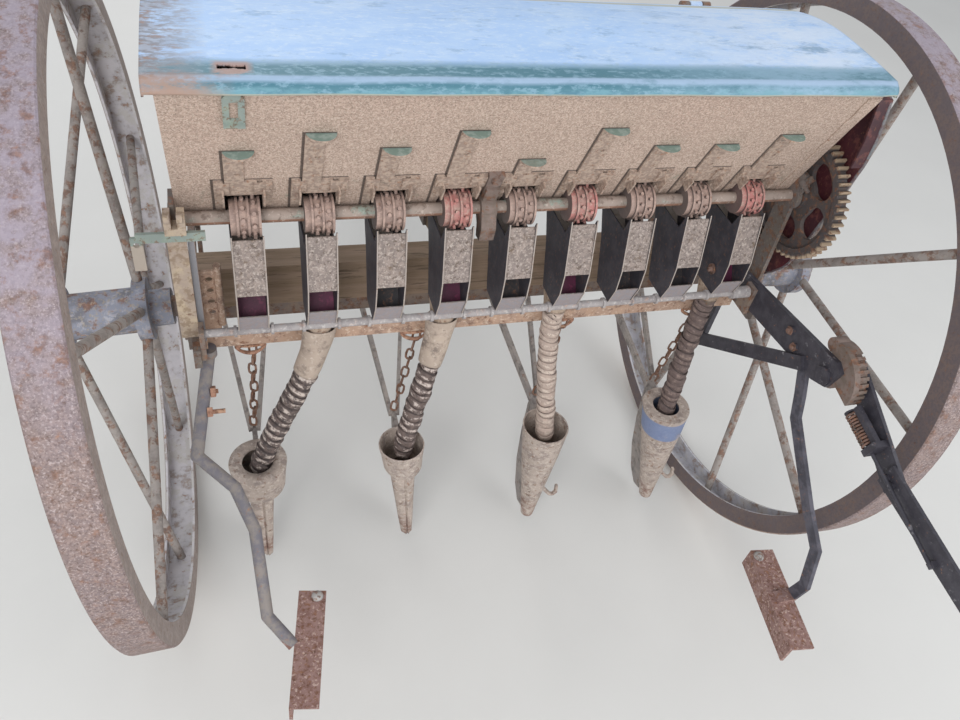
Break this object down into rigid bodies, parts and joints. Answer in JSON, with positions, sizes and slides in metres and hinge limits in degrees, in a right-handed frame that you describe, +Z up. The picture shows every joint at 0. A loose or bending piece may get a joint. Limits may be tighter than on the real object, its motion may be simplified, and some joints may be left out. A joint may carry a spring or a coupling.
{
  "type": "seed drill",
  "caption": "Old horse drawn seed drill with steel hopper and lid, studded feed wheels on a geared shaft, seed tubes, shoe coulters, lift lever, tall spoked wheels and a pole.",
  "frame": {"origin": "centre of the footprint on the ground", "axes": "+X to the right as seen from behind, +Y the way it travels, along the pole, +Z up"},
  "size_m": [1.65, 3.453, 1.2015],
  "materials": {
    "hopper_paint": "chalky beige paint with rust",
    "shutter_steel": "worn grey green",
    "green_paint": "faded green",
    "cast_brown": "rusty casting",
    "chute_paint": "worn grey brown",
    "dark_steel": "rusty",
    "beam_wood": "weathered",
    "frame_steel": "worn dark",
    "post_paint": "chalky beige",
    "guard_red": "dark red, faded",
    "lever_steel": "dark, worn",
    "rust_steel": "rusted",
    "pole_wood": "weathered",
    "tube_steel": "rusty ribbon steel",
    "rim_steel": "rusty tread",
    "spoke_steel": "worn grey",
    "cast_grey": "weathered grey",
    "feed_paint": "faded red",
    "lid_paint": "chalky pale blue over teal",
    "fork_steel": "worn dark",
    "cup_paint": "chalky beige over rust"
  },
  "bodies": {
    "frame": {"hopper": "hopper_paint", "shutters": "shutter_steel", "shutter_guides": "shutter_steel", "hasp": "green_paint", "shaft_brackets": "cast_brown", "chutes": "chute_paint", "chute_bar": "dark_steel", "bar_ears": "dark_steel", "main_beam": "beam_wood", "front_rail": "frame_steel", "rail_left": "frame_steel", "rail_right": "frame_steel", "standard_left": "frame_steel", "standard_right": "frame_steel", "post_left": "post_paint", "strap_left": "green_paint", "axle": "dark_steel", "idler_bracket": "frame_steel", "gear_guard": "guard_red", "lever_arm": "lever_steel", "quadrant": "cast_brown", "brace_right": "lever_steel", "footboard_left": "rust_steel", "footboard_right": "rust_steel", "drag_bar": "dark_steel", "drag_hangers": "frame_steel", "pole": "pole_wood", "pole_bracket": "frame_steel", "stays": "dark_steel", "tow_eye": "dark_steel", "hinges": "dark_steel", "rear_rail": "frame_steel", "end_plate": "frame_steel", "tube_1": "tube_steel", "tube_2": "tube_steel", "tube_3": "tube_steel", "tube_4": "tube_steel"},
    "wheel_left": {"rim_left": "rim_steel", "spokes_left": "spoke_steel", "hub_left": "cast_grey"},
    "wheel_right": {"rim_right": "rim_steel", "spokes_right": "spoke_steel", "hub_right": "cast_grey", "pinion": "cast_brown"},
    "idler": {"idler_gear": "cast_brown"},
    "seed_drive": {"seed_shaft": "dark_steel", "feed_wheels": "feed_paint", "seed_gear": "cast_brown"},
    "lid_body": {"lid": "lid_paint"},
    "lift_lever_body": {"lever": "lever_steel", "latch_spring": "dark_steel"},
    "coulter_1": {"fork_1": "fork_steel", "cup_1": "cup_paint"},
    "coulter_2": {"fork_2": "fork_steel", "cup_2": "cup_paint"},
    "coulter_3": {"fork_3": "fork_steel", "cup_3": "cup_paint"},
    "coulter_4": {"fork_4": "fork_steel", "cup_4": "cup_paint"}
  },
  "joints": [
    {"name": "wheel_left_spin", "type": "hinge", "parent": "frame", "child": "wheel_left", "pos_m": [-0.67, -0.72718, 0.60081], "axis": [0.9979, 0, 0.0645], "continuous": true},
    {"name": "wheel_right_spin", "type": "hinge", "parent": "frame", "child": "wheel_right", "pos_m": [0.67, -0.72718, 0.60081], "axis": [0.9979, 0, -0.0645], "continuous": true},
    {"name": "idler_spin", "type": "hinge", "parent": "frame", "child": "idler", "pos_m": [0.573, -0.75353, 0.73122], "axis": [1, 0, 0], "continuous": true},
    {"name": "seed_shaft_spin", "type": "hinge", "parent": "frame", "child": "seed_drive", "pos_m": [0, -0.85718, 0.89645], "axis": [1, 0, 0], "continuous": true},
    {"name": "lid_hinge", "type": "hinge", "parent": "frame", "child": "lid_body", "pos_m": [0, -0.57722, 1.12995], "axis": [-1, 0, 0], "range_deg": [0, 100]},
    {"name": "lift_lever", "type": "hinge", "parent": "frame", "child": "lift_lever_body", "pos_m": [0.5767, -1.15918, 0.71975], "axis": [-1, 0, 0], "range_deg": [0, 60]},
    {"name": "coulter_1_lift", "type": "hinge", "parent": "frame", "child": "coulter_1", "pos_m": [-0.4545, -0.49718, 0.47005], "axis": [-1, 0, 0], "range_deg": [0, 12], "deforming": ["tube_1"]},
    {"name": "coulter_2_lift", "type": "hinge", "parent": "frame", "child": "coulter_2", "pos_m": [-0.1515, -0.49718, 0.47005], "axis": [-1, 0, 0], "range_deg": [0, 12], "deforming": ["tube_2"]},
    {"name": "coulter_3_lift", "type": "hinge", "parent": "frame", "child": "coulter_3", "pos_m": [0.1515, -0.49718, 0.47005], "axis": [-1, 0, 0], "range_deg": [0, 12], "deforming": ["tube_3"]},
    {"name": "coulter_4_lift", "type": "hinge", "parent": "frame", "child": "coulter_4", "pos_m": [0.4545, -0.49718, 0.47005], "axis": [-1, 0, 0], "range_deg": [0, 12], "deforming": ["tube_4"]}
  ],
  "couplings": [
    {"joint": "idler_spin", "follows": "wheel_right_spin", "ratio": -0.63636},
    {"joint": "seed_shaft_spin", "follows": "wheel_right_spin", "ratio": 0.42}
  ]
}
